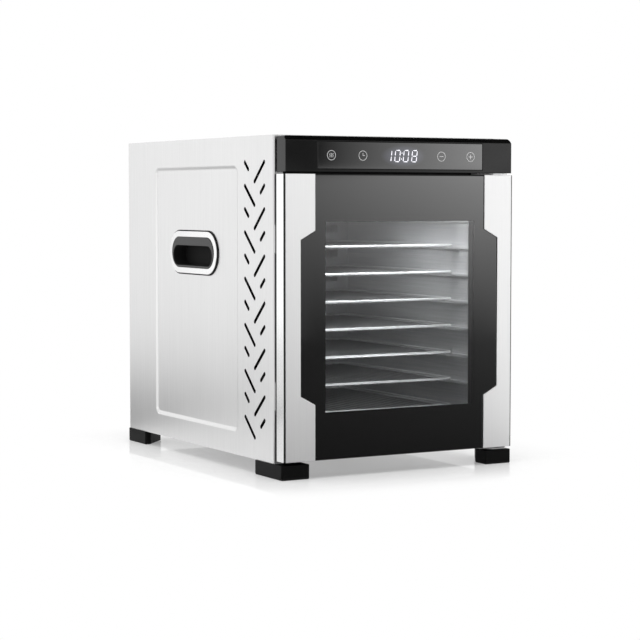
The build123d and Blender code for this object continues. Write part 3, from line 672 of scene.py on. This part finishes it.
for node in ("left_side_panel", "right_side_panel"):
    pressedPanel(node, sidePanel)

quarter = math.radians(90)


def vertsIn(parts):
    return [part for part in parts if isinstance(part, bmesh.types.BMVert)]


def edgesIn(parts):
    return [part for part in parts if isinstance(part, bmesh.types.BMEdge)]


def edgesAt(verts):
    # each edge once
    return list(dict.fromkeys(edge for vert in verts for edge in vert.link_edges))


# Wire trays: a bent rod all round, and thin wires lying under its front and back runs
trayRack = {"rod": 0.0016, "corner": 0.011, "rodSides": 10, "cornerSteps": 5, "wires": 23, "wire": 0.0012,
            "wireSides": 6, "wireDrop": 0.0017, "wireInset": 0.0006, "gap": 1e-5, "shade": 50.0}


def bentRod(bm, low, high, level, look):
    radius = look["rod"]
    corner = look["corner"]
    start = Vector((low.x + radius + corner, low.y + radius, level))
    turned = Matrix.Translation(start) @ Matrix.Rotation(quarter, 4, "Y")
    ring = bmesh.ops.create_circle(bm, segments=look["rodSides"], radius=radius, matrix=turned)
    edges = edgesAt(ring["verts"])
    wide = high.x - low.x - 2 * (radius + corner)
    deep = high.y - low.y - 2 * (radius + corner)
    heading = Vector((1.0, 0.0, 0.0))
    for length in (wide, deep, wide, deep):
        run = bmesh.ops.extrude_edge_only(bm, edges=edges)["geom"]
        bmesh.ops.translate(bm, verts=vertsIn(run), vec=heading * length)
        edges = [edge for edge in edgesIn(run) if all(vert in run for vert in edge.verts)]
        start = start + heading * length
        left = Vector((-heading.y, heading.x, 0.0))
        turn = bmesh.ops.spin(bm, geom=edges, cent=start + left * corner, axis=(0.0, 0.0, 1.0), angle=quarter,
                              steps=look["cornerSteps"], use_merge=False)["geom_last"]
        edges = edgesIn(turn)
        start = start + (heading + left) * corner
        heading = left


def trayRackPiece(number, node, look):
    low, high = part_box(node)
    level = low.z + look["rod"]
    bm = bmesh.new()
    bentRod(bm, low, high, level, look)
    bmesh.ops.remove_doubles(bm, verts=bm.verts, dist=look["gap"])
    bmesh.ops.recalc_face_normals(bm, faces=bm.faces)
    # the rod faces are marked to be painted pale: painted highlight
    rim = bm.faces.layers.float.new("rimRod")
    for face in bm.faces:
        face[rim] = 1.0
    inside = high.x - 2 * look["rod"]
    length = high.y - low.y - 2 * look["wireInset"]
    for index in range(look["wires"]):
        across = (2 * (index + 1) / (look["wires"] + 1) - 1) * inside
        spot = Vector((across, (low.y + high.y) / 2, level - look["wireDrop"]))
        bmesh.ops.create_cone(bm, cap_ends=True, segments=look["wireSides"], radius1=look["wire"],
                              radius2=look["wire"], depth=length,
                              matrix=Matrix.Translation(spot) @ Matrix.Rotation(quarter, 4, "X"))
    keep(bm, f"trayRack{number}", finishOf[node], node, [node], look["shade"])


for number, node in enumerate(trays, 1):
    trayRackPiece(number, node, trayRack)
print("tray racks made")

# Everything printed on the control glass is drawn flat about its middle, facing -Y
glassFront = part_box("control_glass")[0].y
glassMiddle = middleOf("control_glass")
faceOn = Matrix.Rotation(quarter, 4, "X")


def printed(bm, name, finishName, thick):
    # flat print given its thickness, its back on the glass
    bmesh.ops.recalc_face_normals(bm, faces=bm.faces)
    for face in bm.faces:
        if face.normal.y > 0:
            face.normal_flip()
    grown = bmesh.ops.extrude_face_region(bm, geom=list(bm.faces))["geom"]
    bmesh.ops.translate(bm, verts=vertsIn(grown), vec=(0, -thick, 0))
    bmesh.ops.translate(bm, verts=bm.verts, vec=(glassMiddle.x, glassFront, glassMiddle.z))
    bmesh.ops.recalc_face_normals(bm, faces=bm.faces)
    keep(bm, name, finishes[finishName], "cabinet")


# Lit figures of the display: six-sided bars, leaning a little
figures = {"text": "10:08", "places": (-1.5, -0.5, 0.0, 0.5, 1.5), "aside": -0.0005, "pitch": 0.0122,
           "width": 0.0068, "height": 0.0138, "bar": 0.0012, "barGap": 0.0004, "lean": 0.12, "colon": 0.0036,
           "dot": 0.00066, "dotSides": 16, "thick": 0.00012}
barsOf = {"0": "abcdef", "1": "bc", "8": "abcdefg"}
# Each bar: half widths across, quarter heights up, whether it stands upright
barSpots = {"a": (0, 2, False), "g": (0, 0, False), "d": (0, -2, False), "b": (1, 1, True),
            "c": (1, -1, True), "f": (-1, 1, True), "e": (-1, -1, True)}


def figureBar(bm, centre, length, upright, look):
    # a flat bar with pointed ends
    bar = bmesh.ops.create_circle(bm, cap_ends=True, segments=6, radius=1.0, matrix=faceOn)["verts"]
    half = length / 2
    bmesh.ops.scale(bm, verts=bar, vec=(1.0, 1.0, look["bar"] / math.sqrt(3)))
    for vert in bar:
        pointed = abs(vert.co.z) < joining["gap"]
        vert.co.x = math.copysign(half if pointed else half - look["bar"] / 2, vert.co.x)
    if upright:
        bmesh.ops.rotate(bm, verts=bar, cent=(0, 0, 0), matrix=Matrix.Rotation(quarter, 3, "Y"))
    bmesh.ops.translate(bm, verts=bar, vec=centre)


def displayFigures(look):
    bm = bmesh.new()
    for sign, place in zip(look["text"], look["places"]):
        along = place * look["pitch"]
        if sign == ":":
            for side in (1, -1):
                dot = Matrix.Translation((along, 0, side * look["colon"])) @ faceOn
                bmesh.ops.create_circle(bm, cap_ends=True, segments=look["dotSides"], radius=look["dot"],
                                        matrix=dot)
            continue
        for bar in barsOf[sign]:
            acrossStep, upStep, upright = barSpots[bar]
            centre = (along + acrossStep * look["width"] / 2, 0, upStep * look["height"] / 4)
            length = (look["height"] / 2 if upright else look["width"]) - look["barGap"]
            figureBar(bm, centre, length, upright, look)
    lean = Matrix.Identity(4)
    lean[0][2] = look["lean"]
    bmesh.ops.transform(bm, matrix=lean, verts=bm.verts)
    bmesh.ops.translate(bm, verts=bm.verts, vec=(look["aside"], 0, 0))
    printed(bm, "displayFigures", "litFigures", look["thick"])


displayFigures(figures)

# Touch keys: a thin ring round a plain sign
touchKeys = {"ring": 0.006, "ringSteps": 48, "line": 0.0006, "boldLine": 0.00078, "thick": 0.00012,
             "signs": {-0.100: "waves", -0.056: "clock", 0.0575: "minus", 0.101: "plus"},  # by place across
             "barLong": 0.0056, "armLong": 0.0024, "armOff": 0.00165,
             "handOff": 0.0014, "minuteHand": 0.0036, "hourHand": 0.0028,
             "waveAcross": 0.0021, "waveUp": 0.0016, "waveLong": 0.0021, "waveTurn": 24.0}


def printedBar(bm, centre, wide, tall, turn=0.0):
    flat = bmesh.ops.create_grid(bm, x_segments=1, y_segments=1, size=0.5, matrix=faceOn)["verts"]
    bmesh.ops.scale(bm, verts=flat, vec=(wide, 1.0, tall))
    bmesh.ops.rotate(bm, verts=flat, cent=(0, 0, 0), matrix=Matrix.Rotation(math.radians(turn), 3, "Y"))
    bmesh.ops.translate(bm, verts=flat, vec=centre)


def keyRing(bm, centre, look):
    ends = [bm.verts.new((centre.x + look["ring"] - inwards, 0, centre.z)) for inwards in (0.0, look["line"])]
    stroke = bm.edges.new(ends)
    bmesh.ops.spin(bm, geom=[stroke], cent=centre, axis=(0, 1, 0), angle=4 * quarter, steps=look["ringSteps"],
                   use_merge=True)


def keySign(bm, centre, sign, look):
    line = look["line"]
    bold = look["boldLine"]
    if sign in ("minus", "plus"):
        printedBar(bm, centre, look["barLong"], bold)
    if sign == "plus":
        for side in (1, -1):
            printedBar(bm, centre + Vector((0, 0, side * look["armOff"])), bold, look["armLong"])
    if sign == "clock":
        printedBar(bm, centre + Vector((0, 0, look["handOff"])), line, look["minuteHand"])
        printedBar(bm, centre + Vector((look["handOff"], 0, 0)), look["hourHand"], line)
    if sign == "waves":
        for side in (-1, 0, 1):
            for step in (-1, 0, 1):
                spot = centre + Vector((side * look["waveAcross"], 0, step * look["waveUp"]))
                turn = look["waveTurn"] if step else -look["waveTurn"]
                printedBar(bm, spot, line, look["waveLong"], turn)


def touchKeyPrint(look):
    bm = bmesh.new()
    for along, sign in look["signs"].items():
        centre = Vector((along, 0, 0))
        keyRing(bm, centre, look)
        keySign(bm, centre, sign, look)
    printed(bm, "touchKeys", "keyPrint", look["thick"])


touchKeyPrint(touchKeys)
print("display and keys made")

# Back panel screws: low domed heads with a cross recess, where the frame has six-sided ones
screwLook = {"radius": 0.0032, "crown": 0.82, "perSide": 4, "sides": 24, "dome": 0.0004, "domeSteps": 3,
             "frameSides": 6, "topGap": 1e-5, "crossWide": 0.0008, "crossLong": 0.0038, "crossDeep": 0.0006,
             "sideways": 0.5}


def cutOut(piece, bm):
    cutter = asObject(bm, "cutter")
    change = piece.modifiers.new("cross", "BOOLEAN")
    change.operation = "DIFFERENCE"
    change.solver = "EXACT"
    change.object = cutter
    bpy.context.view_layer.update()
    evaluated = piece.evaluated_get(bpy.context.evaluated_depsgraph_get())
    cut = bpy.data.meshes.new_from_object(evaluated)
    piece.modifiers.clear()
    piece.data = cut
    bpy.data.objects.remove(cutter)


def crossPunch(bm, spot, look):
    # a square core with four arms drawn out of its sides
    wide = look["crossWide"]
    core = Matrix.Translation(spot) @ Matrix.Diagonal((wide, 2 * look["crossDeep"], wide, 1.0))
    verts = bmesh.ops.create_cube(bm, size=1.0, matrix=core)["verts"]
    bm.normal_update()
    faces = dict.fromkeys(face for vert in verts for face in vert.link_faces)  # each face once
    for side in [face for face in faces if abs(face.normal.y) < look["sideways"]]:
        outwards = side.normal * (look["crossLong"] - wide) / 2
        arm = bmesh.ops.extrude_discrete_faces(bm, faces=[side])["faces"][0]
        bmesh.ops.translate(bm, verts=arm.verts, vec=outwards)


def domedHead(bm, spot, height, look):
    middle = Matrix.Translation(spot - Vector((0, height / 2, 0))) @ Matrix.Rotation(-quarter, 4, "X")
    head = bmesh.ops.create_cone(bm, cap_ends=True, segments=look["sides"], radius1=look["radius"],
                                 radius2=look["radius"] * look["crown"], depth=height, matrix=middle)
    topLevel = spot.y - look["topGap"]
    rim = [edge for edge in edgesAt(head["verts"]) if all(vert.co.y > topLevel for vert in edge.verts)]
    rounded(bm, rim, look["dome"], look["domeSteps"])


def screwHeads(look):
    low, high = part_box("back_panel_screws")
    radius = look["radius"]
    flat = radius * math.cos(math.pi / look["frameSides"])  # the frame's heads point to the sides
    spacing = (high.z - low.z - 2 * flat) / (look["perSide"] - 1)
    heads = bmesh.new()
    crosses = bmesh.new()
    for side in (-1, 1):
        for row in range(look["perSide"]):
            spot = Vector((side * (high.x - radius), high.y, low.z + flat + row * spacing))
            domedHead(heads, spot, high.y - low.y, look)
            crossPunch(crosses, spot, look)
    piece = keep(heads, "panelScrews", finishes["pinSteel"], "cabinet", ["back_panel_screws"])
    cutOut(piece, crosses)
    print("screw heads made,", len(piece.data.polygons), "faces")


screwHeads(screwLook)

# Floor and studio light
studio = {"skyLevel": 0.55, "floorTone": 0.8, "floorLift": 0.32, "floorGloss": 0.03, "floorMirror": 0.28,
          "floorSize": 14.0, "floorSides": 96, "fade": (0.0, 0.16), "mirrorFade": (0.03, 0.2)}


def studioSky(look):
    world = bpy.data.worlds.new("studioSky")
    scene.world = world
    finish = Finish(world)
    strength = finish.seen() * (1 - look["skyLevel"]) + look["skyLevel"]
    sky = finish.node("ShaderNodeBackground", sockets={"Color": grey(1.0), "Strength": strength})
    finish.node("ShaderNodeOutputWorld", sockets={"Surface": sky})


def stageMesh(bm, name, material):
    sheet = asObject(bm, name)
    sheet.data.materials.append(material)
    return sheet


def paleFloor(look):
    # a plain floor near the object, white and shadowless farther out
    finish = newFinish("paleFloor")
    aside = (abs(finish.axis("X")) - cadHigh[0]).atLeast(0.0)
    ahead = (abs(finish.axis("Y")) - cadHigh[1]).atLeast(0.0)
    reach = (aside * aside + ahead * ahead) ** 0.5
    shine = (1 - finish.smooth(reach, *look["mirrorFade"])) * look["floorMirror"]
    seen = finish.seen()
    plain = finish.node("ShaderNodeBsdfDiffuse", sockets={"Color": grey(look["floorTone"])})
    lifted = finish.node("ShaderNodeAddShader", sockets={0: plain, 1: finish.glow(seen * look["floorLift"])})
    near = finish.blendOf(lifted, finish.mirror(look["floorGloss"]), shine)
    far = finish.blendOf(plain, finish.glow(1.0), seen)
    material = finish.close(finish.blendOf(near, far, finish.smooth(reach, *look["fade"])))
    bm = bmesh.new()
    bmesh.ops.create_circle(bm, cap_ends=True, segments=look["floorSides"], radius=look["floorSize"])
    stageMesh(bm, "paleFloor", material)


# Cards that only gloss sees. Their light runs from its first level to its second along rise, as steeply as
# curve says, tilts along the other way and fades out softly at both sides
alongX = (1.0, 0.0, 0.0)
alongY = (0.0, 1.0, 0.0)
alongZ = (0.0, 0.0, 1.0)
mirrorAcross = (0.849, 0.529, 0.0)  # about square to the line of sight that the door mirrors
plainCard = {"rise": alongZ, "curve": 1.0, "soft": (0.2, 0.2), "tilt": 0.0, "towards": (0.0, 0.0, 0.2)}
cards = {
    "doorCard": {"centre": (1.054, -1.928, 0.1975), "along": mirrorAcross, "wide": 0.75, "tall": 0.395,
                 "light": (0.2, 1.95), "curve": 1.2, "tilt": 1.7},
    "stripCard": {"centre": (1.054, -1.928, 0.465), "along": mirrorAcross, "wide": 1.1, "tall": 0.14,
                  "light": (1.6, 1.6), "tilt": 4.9},
    "rightCard": {"centre": (1.58, -1.60, 0.21), "along": mirrorAcross, "wide": 0.7, "tall": 0.42,
                  "light": (2.6, 2.6)},
    "trimCard": {"centre": (0.51, -2.27, 0.45), "along": mirrorAcross, "wide": 0.6, "tall": 0.5,
                 "light": (1.45, 1.45)},
    "doorFloorCard": {"centre": (0.441, -1.197, 0.003), "along": alongX, "rise": (0.576, -0.818, 0.0),
                      "wide": 1.1, "tall": 2.4, "light": (0.05, 0.2), "soft": (0.44, 0.17), "tilt": 2.05},
    "rightFloorCard": {"centre": (0.60, -0.484, 0.003), "along": mirrorAcross, "rise": (0.529, -0.849, 0.0),
                       "wide": 0.45, "tall": 0.8, "light": (1.5, 1.5), "soft": (0.1, 0.1)},
    "bezelFlag": {"centre": (0.62, -0.19, 1.43), "along": alongX, "rise": alongY, "wide": 1.1, "tall": 0.6,
                  "light": (0.0, 0.0)},
    "backFloorCard": {"centre": (-0.19, 0.785, 0.003), "along": alongX, "rise": alongY, "wide": 0.8,
                      "tall": 0.93, "light": (0.32, 0.32), "soft": (0.15, 0.15)},
    "panelCard": {"centre": (-1.2485, 2.2, 0.6), "along": alongY, "wide": 1.5, "tall": 1.2,
                  "light": (1.36, 1.36), "tilt": -0.6},
    "backCard": {"centre": (-1.0, 2.4, 1.0), "along": alongX, "wide": 1.1, "tall": 0.8, "light": (1.2, 1.2)},
    "leftCard": {"centre": (-1.15, 0.35, 0.22), "along": (0.21, 0.98, 0.0), "wide": 0.5, "tall": 0.44,
                 "light": (1.6, 1.6), "soft": (0.1, 0.1)},
}


def glossCard(name, look):
    look = {**plainCard, **look}
    finish = newFinish(name)
    centre = Vector(look["centre"])
    along = Vector(look["along"]).normalized()
    rise = Vector(look["rise"]).normalized()
    facing = along.cross(rise)
    turned = facing.dot(Vector(look["towards"]) - centre) < 0

    def distance(run, other):
        # how far a point lies from the centre along run, on a card whose sides may be askew
        square = other.cross(facing)
        square = square / run.dot(square)
        reach = finish.node("ShaderNodeVectorMath", {"operation": "DOT_PRODUCT"},
                            {0: finish.place(), 1: square}, "Value")
        return reach - square.dot(centre)

    side = distance(along, rise)
    up = (distance(rise, along) / look["tall"] + 0.5).atLeast(0.0).atMost(1.0)
    first, second = look["light"]
    level = (up ** look["curve"]) * (second - first) + first
    level = (level * (side * look["tilt"] + 1)).atLeast(0.0)
    edge = look["wide"] / 2
    near, far = look["soft"]
    inside = finish.smooth(side, -edge, near - edge) * (1 - finish.smooth(side, edge - far, edge))
    behind = finish.node("ShaderNodeNewGeometry", out="Backfacing")
    clear = finish.node("ShaderNodeBsdfTransparent")
    material = finish.close(finish.blendOf(clear, finish.glow(level), inside * (1 - behind)))
    bm = bmesh.new()
    sized = Matrix((along * look["wide"], rise * look["tall"], facing)).transposed().to_4x4()
    placed = Matrix.Translation(centre) @ sized
    bmesh.ops.create_grid(bm, x_segments=1, y_segments=1, size=0.5, matrix=placed)
    if turned:
        bmesh.ops.reverse_faces(bm, faces=bm.faces)
    card = stageMesh(bm, name, material)
    card.visible_camera = False
    card.visible_diffuse = False
    card.visible_shadow = False
    card.visible_transmission = False


# One lamp over the object, and three small ones in the chamber for the liner and the tray rods
lamps = {
    "overhead": {"spot": (-0.35, -0.5, 1.9), "aim": (0.0, 0.0, 0.1), "wide": 1.7, "tall": 1.7,
                 "spread": 180.0, "power": 20.0, "gloss": False},
    "chamber": {"spot": (0.0, -0.10, 0.352), "aim": (0.1435, -0.075, 0.25), "wide": 0.09, "tall": 0.05,
                "spread": 92.0, "power": 0.44, "gloss": True},
    "upperRods": {"spot": (0.0, -0.195, 0.352), "aim": (0.0, -0.13, 0.24), "wide": 0.24, "tall": 0.01,
                  "spread": 55.0, "power": 0.4, "gloss": True},
    "lowerRods": {"spot": (0.0, -0.195, 0.034), "aim": (0.0, -0.132, 0.15), "wide": 0.24, "tall": 0.01,
                  "spread": 40.0, "power": 0.16, "gloss": True},
}


def softLamp(name, look):
    light = bpy.data.lights.new(name, "AREA")
    light.energy = look["power"]
    light.shape = "RECTANGLE"
    light.size = look["wide"]
    light.size_y = look["tall"]
    light.spread = math.radians(look["spread"])
    lamp = bpy.data.objects.new(name, light)
    scene.collection.objects.link(lamp)
    lamp.location = look["spot"]
    lamp.rotation_euler = (Vector(look["aim"]) - Vector(look["spot"])).to_track_quat("-Z", "Y").to_euler()
    lamp.visible_camera = False
    lamp.visible_glossy = look["gloss"]


studioSky(studio)
paleFloor(studio)
for name, look in cards.items():
    glossCard(name, look)
for name, look in lamps.items():
    softLamp(name, look)

# The photograph's viewpoint
view = {"spot": (-1.2485, -2.23245, 0.33793), "yaw": 29.478, "down": 3.616, "lens": 107.72}


def photoView(look):
    eye = bpy.data.cameras.new("photoView")
    eye.lens = look["lens"]
    camera = bpy.data.objects.new("photoView", eye)
    scene.collection.objects.link(camera)
    camera.location = look["spot"]
    camera.rotation_euler = (quarter - math.radians(look["down"]), 0.0, -math.radians(look["yaw"]))
    scene.camera = camera


photoView(view)
print("studio made")
